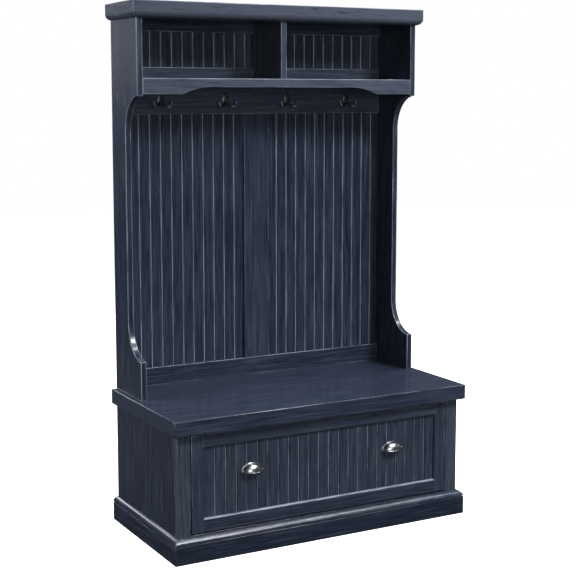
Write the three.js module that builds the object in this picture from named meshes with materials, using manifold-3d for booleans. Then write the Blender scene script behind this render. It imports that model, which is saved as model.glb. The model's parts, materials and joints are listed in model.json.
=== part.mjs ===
// Hall tree: a bench with one wide drawer, a beadboard back with four double coat hooks,
// and a pair of cubbies under a moulded crown. Millimetres, +Z up, the front faces -Y.
// The origin is on the floor, under the middle of the object's box.

import * as THREE from 'three';
import { mergeVertices } from 'three/addons/utils/BufferGeometryUtils.js';
import Module from 'manifold-3d';

const wasm = await Module();
wasm.setup();

// ---------------------------------------------------------------- driving dimensions

const overallWidth = 1092;
const overallDepth = 526;
const overallHeight = 1740;
const seatHeight = 456;
const fitGap = 0.3; // between two pieces that touch
const sweepSteps = 24; // facets along a large sweep
const roundSteps = 12; // facets along a moulding's quarter round
const smallRoundSteps = 6;
const rodSides = 16;
const holeSides = 12;
const ovalSides = 32; // a pull's rim and dome

// Bench
const benchTopThickness = 50;
const sideOverhang = 18.5; // bench top, plinth and crown past the box under them
const benchFrontOverhang = 24;
const caseBoard = 18;
const faceFrameThickness = 20;
const faceStileWidth = 45;
const caseBackThickness = 8;
const sillHeight = 82;
const caseBottomThickness = 18;
const stretcherThickness = 18;
const stretcherDepth = 80;
const plinthHeight = 60;
const capReveal = 3; // shadow line between the plinth and its cap moulding
const capRevealShare = 0.8; // how far out the reveal stands, of the cap's full width
const capHeight = 17;

// Drawer
const drawerSideGap = 3.5;
const drawerBottomGap = 5;
const drawerTopGap = 7;
const drawerFrameWidth = 44;
const stickingWidth = 6; // rounded inner edge of the drawer's frame
const panelRecess = 8;
const beadboardThickness = 8.7;
const grooveDepthForPanel = 8;
const drawerBoard = 12;
const drawerBottomThickness = 6;
const drawerBottomLift = 12; // under edge of the box to the bottom's groove
const drawerGrooveDepth = 6;
const drawerBoxHeight = 240;
const drawerBoxLift = 18; // sill to the under edge of the box
const drawerBackClearance = 34;

// Drawer slides
const slideWidth = 12.7;
const slideSheet = 1.2;
const slideCentreLift = 75; // under edge of the box to the middle of the slide
const slideHeights = { outer: 45, middle: 37, inner: 27 };
const slideReach = { outer: 10.5, middle: 10, inner: 5.5 }; // flange ends, from the cleat
const middleWebSetback = 2.7; // cleat to the middle member's web
const slideFrontSetback = 2;
const cleatHeight = 70;

// Cup pulls
const pullSpacing = 530;
const pullLiftOverMiddle = 13; // drawer's middle to the pull's open lower edge
const pullHalfWidth = 40;
const pullHeight = 30;
const pullProjection = 24;
const pullRim = 2.6;
const pullRimThickness = 2;
const pullWall = 1.8;
const pullBossRadius = 4.6;
const pullBossLength = 9;
const pullBossInset = 5; // pull's side to the middle of its boss
const pullBossLift = 4.8;
const pullScrewRadius = 2;
const pullScrewEngagement = 6.5;
const pullScrewHeadRadius = 4;
const pullScrewHeadHeight = 2.4;

// Hutch
const hutchDepth = 222;
const hutchWaistDepth = 117;
const hutchBoard = 20;
const lowerShoulderHeight = 129; // seat to the lower sweep
const sweepHeight = 116;
const upperShoulderHeight = 57; // shelf top down to the upper sweep
const cubbyHeight = 189;
const hutchTopThickness = 18;
const crownHeight = 53;
const crownFaceHeight = 33;
const crownFrontOverhang = 22;
const crownPanelThickness = 18;
const shelfThickness = 20;
const dividerThickness = 21;
const apronThickness = 18;
const apronEndHeight = 51;
const apronArchHeight = 28; // height left over the arch
const apronArchFlatHalf = 270;
const apronArchHalf = 368;

// Hutch back
const backFrameThickness = 20;
const backRecess = 8;
const panelRebate = 10;
const backBottomRailHeight = 62;
const hookRailDrop = 118; // shelf top down to the hook rail's lower edge
const cubbyLowerRailHeight = 39;
const cubbyTopRailHeight = 32;
const centreStileWidth = 96;

// Beadboard grooves
const beadPitch = 39.4;
const drawerBeadPitch = 37.7;
const grooveWidth = 4.4;
const grooveDepth = 2.4;
const firstGrooveFromStile = 36;
const leastBeadStrip = 14; // a panel's last strip is never narrower

// Coat hooks
const hookCount = 4;
const hookSpacing = 241.5;
const hookDrop = 67.5; // shelf top down to the plate's middle
const hookPlateHalfWidth = 13.5;
const hookPlateHalfHeight = 21;
const hookPlateThickness = 3.6;
const hookBossRadius = 7.5;
const hookBossLength = 9;
const hookArmRadius = 2.5;
const hookArmSides = 10;
const hookArmSteps = 14;
const hookRootHalf = 1.5; // half the distance between the two arms where they leave the boss
const hookElbow = [9, 20, 13]; // out, forward and down: the arm's pull as it leaves the boss
const hookBowl = [8, 26]; // forward and down: the arm's pull as it turns up to its tip
const hookTipRadius = 3.7;
const hookTipRings = 9;
const hookTipOut = 32.6;
const hookTipForward = 21;

// ---------------------------------------------------------------- places worked out from them

const halfWidth = overallWidth / 2;
const backY = overallDepth / 2;
const frontY = -overallDepth / 2;

const caseHalfWidth = halfWidth - sideOverhang;
const caseInnerHalf = caseHalfWidth - caseBoard;
const caseFaceY = frontY + benchFrontOverhang;
const faceFrameBackY = caseFaceY + faceFrameThickness;
const caseTopZ = seatHeight - benchTopThickness;
const caseBackFrontY = backY - caseBackThickness;
const openingHalf = caseHalfWidth - faceStileWidth;

const drawerHalf = openingHalf - drawerSideGap;
const drawerLowZ = sillHeight + drawerBottomGap;
const drawerHighZ = caseTopZ - drawerTopGap;
const drawerMiddleZ = (drawerLowZ + drawerHighZ) / 2;
const drawerOpenHalf = drawerHalf - drawerFrameWidth;
const drawerPanelFaceY = caseFaceY + panelRecess;
const drawerPanelBackY = drawerPanelFaceY + beadboardThickness + 2 * fitGap;
const boxHalf = openingHalf - slideWidth;
const boxLowZ = sillHeight + drawerBoxLift;
const boxHighZ = Math.min(boxLowZ + drawerBoxHeight, caseTopZ - stretcherThickness - drawerBoxLift);
const boxFrontY = faceFrameBackY + fitGap;
const boxBackY = caseBackFrontY - drawerBackClearance;
const slideMiddleZ = boxLowZ + slideCentreLift;
const slideFrontY = boxFrontY + slideFrontSetback;
const slideBackY = boxBackY - fitGap;

const hutchFaceY = backY - hutchDepth;
const hutchInnerHalf = caseHalfWidth - hutchBoard;
const crownLowZ = overallHeight - crownHeight;
const shelfTopZ = crownLowZ - cubbyHeight;
const crownPanelLowZ = overallHeight - crownPanelThickness;
const backFrameFrontY = backY - backFrameThickness;
const panelFrontY = backFrameFrontY + backRecess;
const hookRailLowZ = shelfTopZ - hookRailDrop;
const hookRailHighZ = shelfTopZ + cubbyLowerRailHeight;
const cubbyTopRailLowZ = crownLowZ - cubbyTopRailHeight;
const bottomRailHighZ = seatHeight + backBottomRailHeight;
const centreStileHalf = centreStileWidth / 2;

// ---------------------------------------------------------------- finishes

const finish = (color, roughness, metalness) => () =>
  new THREE.MeshStandardMaterial({ color, roughness, metalness });

const navyPaint = finish('#2f3748', 0.55, 0);
const birchPly = finish('#b9966b', 0.6, 0);
const zincSteel = finish('#a3a7aa', 0.35, 0.9);
const brushedNickel = finish('#9a9791', 0.3, 1);
const darkBronze = finish('#1f1b18', 0.4, 0.8);

// ---------------------------------------------------------------- helpers

// Turns the triangles round if a mapping has turned the body inside out.
function facingOut(geometry) {
  const position = geometry.attributes.position;
  const [a, b, c] = [new THREE.Vector3(), new THREE.Vector3(), new THREE.Vector3()];
  let sixVolumes = 0;
  for (let i = 0; i < position.count; i += 3) {
    a.fromBufferAttribute(position, i);
    b.fromBufferAttribute(position, i + 1);
    c.fromBufferAttribute(position, i + 2);
    sixVolumes += a.dot(b.cross(c));
  }
  if (sixVolumes < 0) {
    for (let i = 0; i < position.count; i += 3) {
      b.fromBufferAttribute(position, i + 1);
      c.fromBufferAttribute(position, i + 2);
      position.setXYZ(i + 1, c.x, c.y, c.z);
      position.setXYZ(i + 2, b.x, b.y, b.z);
    }
  }
  geometry.computeVertexNormals();
  return geometry;
}

// A closed outline of [u, v] points drawn out from end 0 to end 1; place gives [x, y, z].
function prism(outline, place) {
  const shape = new THREE.Shape(outline.map(([u, v]) => new THREE.Vector2(u, v)));
  const geometry = new THREE.ExtrudeGeometry(shape, { depth: 1, bevelEnabled: false });
  const position = geometry.attributes.position;
  for (let i = 0; i < position.count; i += 1) {
    position.setXYZ(i, ...place(position.getX(i), position.getY(i), position.getZ(i)));
  }
  return facingOut(geometry);
}

const alongX = (from, to) => (y, z, end) => [from + end * (to - from), y, z];
const alongY = (from, to) => (x, z, end) => [x, from + end * (to - from), z];
const alongZ = (from, to) => (x, y, end) => [x, y, from + end * (to - from)];

function board([x0, x1], [y0, y1], [z0, z1]) {
  const geometry = new THREE.BoxGeometry(x1 - x0, y1 - y0, z1 - z0);
  return geometry.translate((x0 + x1) / 2, (y0 + y1) / 2, (z0 + z1) / 2);
}

// Points of an ellipse's arc, angles in quarter turns.
function arc([cu, cv], [ru, rv], fromQuarter, toQuarter, steps) {
  return Array.from({ length: steps + 1 }, (_, i) => {
    const angle = ((fromQuarter + ((toQuarter - fromQuarter) * i) / steps) * Math.PI) / 2;
    return [cu + ru * Math.cos(angle), cv + rv * Math.sin(angle)];
  });
}

function toSolid(geometry) {
  const bare = geometry.clone();
  bare.deleteAttribute('normal');
  bare.deleteAttribute('uv');
  const merged = mergeVertices(bare);
  return new wasm.Manifold(
    new wasm.Mesh({
      numProp: 3,
      vertProperties: new Float32Array(merged.attributes.position.array),
      triVerts: new Uint32Array(merged.index.array),
    }),
  );
}

function toGeometry(solid) {
  const mesh = solid.getMesh();
  const geometry = new THREE.BufferGeometry();
  geometry.setAttribute('position', new THREE.BufferAttribute(mesh.vertProperties, 3));
  geometry.setIndex(new THREE.BufferAttribute(mesh.triVerts, 1));
  geometry.computeVertexNormals();
  return geometry;
}

const join = (...geometries) => toGeometry(geometries.map(toSolid).reduce((a, b) => a.add(b)));

const cut = (geometry, ...cutters) =>
  toGeometry(cutters.map(toSolid).reduce((left, cutter) => left.subtract(cutter), toSolid(geometry)));

const keepInside = (geometry, limit) => toGeometry(toSolid(geometry).intersect(toSolid(limit)));

// A round rod along Y.
function rodAlongY(radius, yFrom, yTo, x, z, sides) {
  const geometry = new THREE.CylinderGeometry(radius, radius, yTo - yFrom, sides);
  return geometry.translate(x, (yFrom + yTo) / 2, z);
}

const group = new THREE.Group();

function add(name, geometry, material, parent = group) {
  const mesh = new THREE.Mesh(geometry, material());
  mesh.name = name;
  parent.add(mesh);
  return mesh;
}

// Adds a piece and its mirror image about X = 0; make(side) is given +1 or -1.
function addPair(name, make, material) {
  for (const [side, label] of [[-1, 'left'], [1, 'right']]) {
    add(`${name}_${label}`, make(side), material);
  }
}

const between = (side, near, far) => (side > 0 ? [near, far] : [-far, -near]);

// ---------------------------------------------------------------- mouldings that wrap a box

// outline holds [share of the overhang, height] points. The front piece and the side
// pieces meet on one mitre plane at each front corner, and the sides run to the back.
function wrapMouldings(name, outline, boxFaceY, frontOverhang) {
  const outSide = (share) => fitGap + share * (sideOverhang - fitGap);
  const outFront = (share) => fitGap + share * (frontOverhang - fitGap);

  const frontPlace = (share, z, end) => {
    const corner = caseHalfWidth + outSide(share) - fitGap;
    return [end ? corner : -corner, boxFaceY - outFront(share), z];
  };
  const sidePlace = (side) => (share, z, end) => {
    const corner = boxFaceY - outFront(share) + fitGap;
    return [side * (caseHalfWidth + outSide(share)), end ? backY : corner, z];
  };

  add(`${name}_front`, prism(outline, frontPlace), navyPaint);
  addPair(name, (side) => prism(outline, sidePlace(side)), navyPaint);
}

// ---------------------------------------------------------------- beadboard

// Groove places across a panel, spread both ways from a first groove.
function groovePlaces(first, pitch, low, high) {
  const places = [];
  for (let x = first; x < high - leastBeadStrip; x += pitch) places.push(x);
  for (let x = first - pitch; x > low + leastBeadStrip; x -= pitch) places.unshift(x);
  return places;
}

// A panel with V grooves down its front face, which is at frontFaceY.
function beadboard([x0, x1], frontFaceY, [z0, z1], grooves) {
  const face = grooves.flatMap((x) => [
    [x - grooveWidth / 2, frontFaceY],
    [x, frontFaceY + grooveDepth],
    [x + grooveWidth / 2, frontFaceY],
  ]);
  const panelBackY = frontFaceY + beadboardThickness;
  const outline = [[x0, frontFaceY], ...face, [x1, frontFaceY], [x1, panelBackY], [x0, panelBackY]];
  return prism(outline, alongZ(z0, z1));
}

// ---------------------------------------------------------------- bench case

function buildBench() {
  const underTop = caseTopZ - fitGap;
  const innerHalf = caseInnerHalf - fitGap;
  const behindFrameY = faceFrameBackY + fitGap;

  add('bench_top', board([-halfWidth, halfWidth], [frontY, backY], [caseTopZ, seatHeight]), navyPaint);

  addPair(
    'base_side',
    (side) => board(between(side, caseInnerHalf, caseHalfWidth), [behindFrameY, backY], [0, underTop]),
    navyPaint,
  );
  addPair(
    'base_stile',
    (side) =>
      board(between(side, openingHalf, caseHalfWidth), [caseFaceY, faceFrameBackY], [0, underTop]),
    navyPaint,
  );

  const sillHalf = openingHalf - fitGap;
  add(
    'base_sill_rail',
    board([-sillHalf, sillHalf], [caseFaceY, faceFrameBackY], [0, sillHeight]),
    navyPaint,
  );
  add(
    'base_bottom',
    board(
      [-innerHalf, innerHalf],
      [behindFrameY, caseBackFrontY - fitGap],
      [sillHeight - caseBottomThickness, sillHeight],
    ),
    navyPaint,
  );
  add(
    'base_back',
    board([-innerHalf, innerHalf], [caseBackFrontY, backY], [0, underTop]),
    navyPaint,
  );
  add(
    'base_stretcher',
    board(
      [-innerHalf, innerHalf],
      [behindFrameY, behindFrameY + stretcherDepth],
      [underTop - stretcherThickness, underTop],
    ),
    navyPaint,
  );

  const plinthOutline = [[0, 0], [1, 0], [1, plinthHeight], [0, plinthHeight]];
  wrapMouldings('plinth', plinthOutline, caseFaceY, benchFrontOverhang);

  const capLowZ = plinthHeight + fitGap;
  const capRoundZ = plinthHeight + capReveal;
  const capOutline = [
    [0, capLowZ],
    [capRevealShare, capLowZ],
    [capRevealShare, capRoundZ],
    ...arc([0, capRoundZ], [1, capHeight], 0, 1, roundSteps),
  ];
  wrapMouldings('base_moulding', capOutline, caseFaceY, benchFrontOverhang);
}

// ---------------------------------------------------------------- drawer slides

// A channel drawn along Y; its web is at webFrom..webFrom+sheet from the cleat and its
// flanges end at reach. side is +1 on the right.
function slideChannel(side, webFrom, reach, height, [yFrom, yTo]) {
  const towardDrawer = reach > webFrom ? 1 : -1;
  const x = (fromCleat) => side * (openingHalf - fromCleat);
  const webNear = webFrom;
  const webFar = webFrom + towardDrawer * slideSheet;
  const high = slideMiddleZ + height / 2;
  const low = slideMiddleZ - height / 2;
  const outline = [
    [x(webNear), low],
    [x(reach), low],
    [x(reach), low + slideSheet],
    [x(webFar), low + slideSheet],
    [x(webFar), high - slideSheet],
    [x(reach), high - slideSheet],
    [x(reach), high],
    [x(webNear), high],
  ];
  return prism(outline, alongY(yFrom, yTo));
}

function buildSlides() {
  const run = [slideFrontY, slideBackY];
  addPair(
    'slide_cleat',
    (side) =>
      board(
        between(side, openingHalf, caseInnerHalf - fitGap),
        [faceFrameBackY + fitGap, caseBackFrontY - fitGap],
        [slideMiddleZ - cleatHeight / 2, slideMiddleZ + cleatHeight / 2],
      ),
    birchPly,
  );
  addPair(
    'slide_outer',
    (side) => slideChannel(side, fitGap, slideReach.outer, slideHeights.outer, run),
    zincSteel,
  );
  addPair(
    'slide_middle',
    (side) => slideChannel(side, middleWebSetback, slideReach.middle, slideHeights.middle, run),
    zincSteel,
  );
  addPair(
    'slide_inner',
    (side) => slideChannel(side, slideWidth - fitGap, slideReach.inner, slideHeights.inner, run),
    zincSteel,
  );
}

// ---------------------------------------------------------------- drawer

// Section of a frame member: u runs from the panel opening's edge out to the member's
// outer edge, v is depth from the front face. It holds the rounded inner edge and the
// groove that the panel sits in.
function frameSection() {
  const grooveFront = panelRecess;
  const grooveBack = panelRecess + beadboardThickness + 2 * fitGap;
  return [
    [drawerFrameWidth, 0],
    ...arc([stickingWidth, panelRecess], [stickingWidth, panelRecess], 3, 2, smallRoundSteps),
    [grooveDepthForPanel, grooveFront],
    [grooveDepthForPanel, grooveBack],
    [0, grooveBack],
    [0, faceFrameThickness],
    [drawerFrameWidth, faceFrameThickness],
  ];
}

// The stiles run the full height; the rails are coped over the stiles' rounded edge.
function drawerStile(side, shiftIn = 0) {
  const place = (u, v, end) => [
    side * (drawerOpenHalf - shiftIn + u),
    caseFaceY + v,
    drawerLowZ + end * (drawerHighZ - drawerLowZ),
  ];
  return prism(frameSection(), place);
}

function drawerRail(openEdgeZ, up) {
  const reach = drawerOpenHalf + grooveDepthForPanel;
  const place = (u, v, end) => [-reach + end * 2 * reach, caseFaceY + v, openEdgeZ + up * u];
  return cut(prism(frameSection(), place), drawerStile(-1, fitGap), drawerStile(1, fitGap));
}

const pullCentres = [-pullSpacing / 2, pullSpacing / 2];
const pullLowZ = drawerMiddleZ + pullLiftOverMiddle;
const pullScrewZ = pullLowZ + pullBossLift;
const pullScrewOffset = pullHalfWidth - pullBossInset;
const pullScrewXs = pullCentres.flatMap((x) => [x - pullScrewOffset, x + pullScrewOffset]);

// Clearance holes for the pull screws, from one face to the other.
const pullScrewHoles = (yFrom, yTo) =>
  pullScrewXs.map((x) => rodAlongY(pullScrewRadius + fitGap, yFrom - 1, yTo + 1, x, pullScrewZ, holeSides));

function buildDrawer() {
  const railOpening = [drawerLowZ + drawerFrameWidth, drawerHighZ - drawerFrameWidth];
  addPair('drawer_stile', (side) => drawerStile(side), navyPaint);
  add('drawer_rail_bottom', drawerRail(railOpening[0], -1), navyPaint);
  add('drawer_rail_top', drawerRail(railOpening[1], 1), navyPaint);

  const inGroove = grooveDepthForPanel - fitGap;
  const panelHalf = drawerOpenHalf + inGroove;
  const panelFaceY = drawerPanelFaceY + fitGap;
  const grooves = groovePlaces(drawerBeadPitch / 2, drawerBeadPitch, -drawerOpenHalf, drawerOpenHalf);
  const panel = beadboard(
    [-panelHalf, panelHalf],
    panelFaceY,
    [railOpening[0] - inGroove, railOpening[1] + inGroove],
    grooves,
  );
  add('drawer_panel', cut(panel, ...pullScrewHoles(panelFaceY, drawerPanelBackY)), navyPaint);

  // The box: the bottom slides in under the back and sits in grooves in the other three.
  const bottomLowZ = boxLowZ + drawerBottomLift;
  const grooveHighZ = bottomLowZ + drawerBottomThickness + 2 * fitGap;
  const inner = boxHalf - drawerBoard;
  addPair(
    'drawer_side',
    (side) => {
      const outline = [
        [boxHalf, boxLowZ],
        [boxHalf, boxHighZ],
        [inner, boxHighZ],
        [inner, grooveHighZ],
        [inner + drawerGrooveDepth, grooveHighZ],
        [inner + drawerGrooveDepth, bottomLowZ],
        [inner, bottomLowZ],
        [inner, boxLowZ],
      ];
      return prism(outline.map(([x, z]) => [side * x, z]), alongY(boxFrontY, boxBackY));
    },
    birchPly,
  );

  const crossHalf = inner - fitGap;
  const boxFrontBackY = boxFrontY + drawerBoard;
  const frontOutline = [
    [boxFrontY, boxLowZ],
    [boxFrontBackY, boxLowZ],
    [boxFrontBackY, bottomLowZ],
    [boxFrontBackY - drawerGrooveDepth, bottomLowZ],
    [boxFrontBackY - drawerGrooveDepth, grooveHighZ],
    [boxFrontBackY, grooveHighZ],
    [boxFrontBackY, boxHighZ],
    [boxFrontY, boxHighZ],
  ];
  const boxFront = prism(frontOutline, alongX(-crossHalf, crossHalf));
  add('drawer_box_front', cut(boxFront, ...pullScrewHoles(boxFrontY, boxFrontBackY)), birchPly);
  add(
    'drawer_back',
    board([-crossHalf, crossHalf], [boxBackY - drawerBoard, boxBackY], [grooveHighZ, boxHighZ]),
    birchPly,
  );
  const bottomHalf = inner + drawerGrooveDepth - fitGap;
  add(
    'drawer_bottom',
    board(
      [-bottomHalf, bottomHalf],
      [boxFrontBackY - drawerGrooveDepth + fitGap, boxBackY],
      [bottomLowZ + fitGap, bottomLowZ + fitGap + drawerBottomThickness],
    ),
    birchPly,
  );
}

// ---------------------------------------------------------------- cup pulls

// A half dome, open below, with a flat rim round its back and two screw bosses inside.
function cupPull(centreX) {
  const seatY = drawerPanelFaceY; // back of the rim, a gap in front of the panel
  const dome = (inset) => {
    const size = [pullHalfWidth - pullRim - inset, pullProjection - inset, pullHeight - pullRim - inset];
    const ball = new THREE.SphereGeometry(1, ovalSides, ovalSides / 2);
    return ball.scale(...size).translate(centreX, seatY, pullLowZ);
  };
  const oval = arc([0, 0], [pullHalfWidth, pullHeight], 0, 4, ovalSides).slice(0, -1);
  const rim = prism(oval, (u, v, end) => [
    centreX + u,
    seatY - end * pullRimThickness,
    pullLowZ + v,
  ]);
  const bossX = (sign) => centreX + sign * pullScrewOffset;
  const holeEndY = seatY - pullScrewEngagement - 2 * fitGap;
  const boss = (sign) =>
    rodAlongY(pullBossRadius, seatY - pullBossLength, seatY, bossX(sign), pullScrewZ, rodSides);
  const hole = (sign) =>
    rodAlongY(pullScrewRadius + fitGap, holeEndY, seatY + 1, bossX(sign), pullScrewZ, holeSides);
  const room = board(
    [centreX - pullHalfWidth, centreX + pullHalfWidth],
    [seatY - pullProjection, seatY],
    [pullLowZ, pullLowZ + pullHeight],
  );
  const shell = cut(keepInside(join(dome(0), rim), room), dome(pullWall));
  return cut(join(shell, boss(-1), boss(1)), hole(-1), hole(1));
}

function buildPulls() {
  add('cup_pull_left', cupPull(pullCentres[0]), brushedNickel);
  add('cup_pull_right', cupPull(pullCentres[1]), brushedNickel);

  const headY = boxFrontY + drawerBoard + fitGap;
  const tipY = drawerPanelFaceY - pullScrewEngagement;
  pullScrewXs.forEach((x, i) => {
    const shankEndY = headY + pullScrewHeadHeight / 2;
    const headEndY = headY + pullScrewHeadHeight;
    const shank = rodAlongY(pullScrewRadius, tipY, shankEndY, x, pullScrewZ, holeSides);
    const head = rodAlongY(pullScrewHeadRadius, headY, headEndY, x, pullScrewZ, rodSides);
    add(`pull_screw_${i + 1}`, join(shank, head), zincSteel);
  });
}

// ---------------------------------------------------------------- hutch

function buildHutch() {
  const footZ = seatHeight + fitGap;
  const sideTopZ = crownPanelLowZ - fitGap;
  const waistY = backY - hutchWaistDepth;
  const sweep = [hutchDepth - hutchWaistDepth, sweepHeight];
  const lowerSweepTopZ = seatHeight + lowerShoulderHeight + sweepHeight;
  const upperSweepLowZ = shelfTopZ - upperShoulderHeight - sweepHeight;
  const sideOutline = [
    [backY, footZ],
    [hutchFaceY, footZ],
    ...arc([hutchFaceY, lowerSweepTopZ], sweep, 3, 4, sweepSteps),
    ...arc([hutchFaceY, upperSweepLowZ], sweep, 0, 1, sweepSteps),
    [hutchFaceY, sideTopZ],
    [backY, sideTopZ],
  ];
  addPair(
    'hutch_side',
    (side) => prism(sideOutline, alongX(side * hutchInnerHalf, side * caseHalfWidth)),
    navyPaint,
  );

  const innerHalf = hutchInnerHalf - fitGap;
  const beforeFrameY = backFrameFrontY - fitGap;
  add(
    'hutch_top',
    board([-innerHalf, innerHalf], [hutchFaceY, beforeFrameY], [crownLowZ, crownLowZ + hutchTopThickness]),
    navyPaint,
  );
  add(
    'crown_panel',
    board([-caseHalfWidth, caseHalfWidth], [hutchFaceY, backY], [crownPanelLowZ, overallHeight]),
    navyPaint,
  );

  const roundZ = overallHeight - crownFaceHeight;
  const crownOutline = [
    [0, overallHeight],
    [1, overallHeight],
    ...arc([0, roundZ], [1, roundZ - crownLowZ], 4, 3, roundSteps),
  ];
  wrapMouldings('crown_moulding', crownOutline, hutchFaceY, crownFrontOverhang);

  const apronBackY = hutchFaceY + apronThickness;
  const apronLowZ = shelfTopZ - apronEndHeight;
  const archZ = shelfTopZ - apronArchHeight;
  const archRun = apronArchHalf - apronArchFlatHalf;
  const archDrop = apronEndHeight - apronArchHeight;
  const archRadius = (archRun * archRun + archDrop * archDrop) / (2 * archDrop);
  const archQuarters = Math.asin(archRun / archRadius) / (Math.PI / 2);
  const rightArch = arc(
    [apronArchFlatHalf, archZ - archRadius],
    [archRadius, archRadius],
    1 - archQuarters,
    1,
    roundSteps,
  );
  const leftArch = rightArch.map(([x, z]) => [-x, z]).reverse();
  const apronOutline = [
    [innerHalf, apronLowZ],
    ...rightArch,
    ...leftArch,
    [-innerHalf, apronLowZ],
    [-innerHalf, shelfTopZ],
    [innerHalf, shelfTopZ],
  ];
  add('shelf_apron', prism(apronOutline, alongY(hutchFaceY, apronBackY)), navyPaint);
  add(
    'cubby_shelf',
    board(
      [-innerHalf, innerHalf],
      [apronBackY + fitGap, beforeFrameY],
      [shelfTopZ - shelfThickness, shelfTopZ],
    ),
    navyPaint,
  );
  add(
    'cubby_divider',
    board(
      [-dividerThickness / 2, dividerThickness / 2],
      [hutchFaceY, beforeFrameY],
      [shelfTopZ + fitGap, crownLowZ - fitGap],
    ),
    navyPaint,
  );
}

// ---------------------------------------------------------------- hutch back

// Section of a back rail from lowZ to highZ, with rebates behind for the panels.
function backRail(lowZ, highZ, rebateBelow, rebateAbove) {
  const lipBackY = panelFrontY;
  const outline = [[backFrameFrontY, lowZ], [lipBackY, lowZ]];
  if (rebateBelow) outline.push([lipBackY, lowZ + panelRebate], [backY, lowZ + panelRebate]);
  else outline.push([backY, lowZ]);
  if (rebateAbove) outline.push([backY, highZ - panelRebate], [lipBackY, highZ - panelRebate]);
  else outline.push([backY, highZ]);
  if (rebateAbove) outline.push([lipBackY, highZ]);
  outline.push([backFrameFrontY, highZ]);
  return prism(outline, alongX(-hutchInnerHalf + fitGap, hutchInnerHalf - fitGap));
}

function buildHutchBack() {
  add('back_bottom_rail', backRail(seatHeight + fitGap, bottomRailHighZ, false, true), navyPaint);
  add('hook_rail', backRail(hookRailLowZ, hookRailHighZ, true, true), navyPaint);
  add(
    'cubby_top_rail',
    backRail(cubbyTopRailLowZ, crownPanelLowZ - fitGap, true, false),
    navyPaint,
  );

  // The centre stile laps behind the rails' lips at both ends.
  const stileBackHalf = centreStileHalf - panelRebate;
  const lapReach = panelRebate - fitGap;
  const lapFrontY = panelFrontY + fitGap;
  const stileFace = board(
    [-centreStileHalf, centreStileHalf],
    [backFrameFrontY, panelFrontY],
    [bottomRailHighZ + fitGap, hookRailLowZ - fitGap],
  );
  const stileLap = board(
    [-stileBackHalf, stileBackHalf],
    [lapFrontY, backY],
    [bottomRailHighZ - lapReach, hookRailLowZ + lapReach],
  );
  const stileCore = board(
    [-stileBackHalf, stileBackHalf],
    [backFrameFrontY, backY],
    [bottomRailHighZ + fitGap, hookRailLowZ - fitGap],
  );
  add('back_centre_stile', join(stileFace, stileCore, stileLap), navyPaint);

  const panelNear = stileBackHalf + fitGap;
  const panelFar = hutchInnerHalf - fitGap;
  const panelFaceY = panelFrontY + fitGap;
  const firstGroove = centreStileHalf + firstGrooveFromStile;
  const grooves = groovePlaces(firstGroove, beadPitch, centreStileHalf, panelFar);
  addPair(
    'back_panel',
    (side) =>
      beadboard(
        between(side, panelNear, panelFar),
        panelFaceY,
        [bottomRailHighZ - lapReach, hookRailLowZ + lapReach],
        side > 0 ? grooves : grooves.map((x) => -x).reverse(),
      ),
    navyPaint,
  );
  add(
    'cubby_back_panel',
    beadboard(
      [-panelFar, panelFar],
      panelFaceY,
      [hookRailHighZ - lapReach, cubbyTopRailLowZ + lapReach],
      groovePlaces(beadPitch, beadPitch, -panelFar, panelFar),
    ),
    navyPaint,
  );
}

// ---------------------------------------------------------------- coat hooks

// An oval plate and boss with two arms that dip, spread and turn up to ball tips.
function coatHook() {
  const plateSize = [hookPlateHalfWidth, hookPlateHalfHeight];
  const plateOutline = arc([0, 0], plateSize, 0, 4, sweepSteps).slice(0, -1);
  const plate = prism(plateOutline, (u, v, end) => [u, -end * hookPlateThickness, v]);
  const bossZ = -hookPlateHalfHeight / 2;
  const tipZ = bossZ;
  const [elbowOut, elbowForward, elbowDrop] = hookElbow;
  const [bowlForward, bowlDrop] = hookBowl;
  const boss = rodAlongY(hookBossRadius, -hookBossLength, 0, 0, bossZ, rodSides);
  const pieces = [plate, boss];
  for (const side of [-1, 1]) {
    const route = new THREE.CubicBezierCurve3(
      new THREE.Vector3(side * hookRootHalf, -hookBossLength / 2, bossZ),
      new THREE.Vector3(side * elbowOut, -elbowForward, bossZ - elbowDrop),
      new THREE.Vector3(side * hookTipOut, -hookTipForward - bowlForward, bossZ - bowlDrop),
      new THREE.Vector3(side * hookTipOut, -hookTipForward, tipZ),
    );
    const section = new THREE.Shape(
      arc([0, 0], [hookArmRadius, hookArmRadius], 0, 4, hookArmSides)
        .slice(0, -1)
        .map(([u, v]) => new THREE.Vector2(u, v)),
    );
    const sweep = { steps: hookArmSteps, extrudePath: route, bevelEnabled: false };
    pieces.push(new THREE.ExtrudeGeometry(section, sweep));
    const tip = new THREE.SphereGeometry(hookTipRadius, hookArmSteps, hookTipRings);
    pieces.push(tip.translate(side * hookTipOut, -hookTipForward, tipZ));
  }
  return join(...pieces);
}

function buildHooks() {
  for (let i = 0; i < hookCount; i += 1) {
    const hook = add(`coat_hook_${i + 1}`, coatHook(), darkBronze);
    const x = (i - (hookCount - 1) / 2) * hookSpacing;
    hook.position.set(x, backFrameFrontY - fitGap, shelfTopZ - hookDrop);
  }
}

buildBench();
buildSlides();
buildDrawer();
buildPulls();
buildHutch();
buildHutchBack();
buildHooks();

export default group;
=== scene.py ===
import json
import math
import zlib

import bmesh
import bpy
from mathutils import Matrix, Vector


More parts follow.
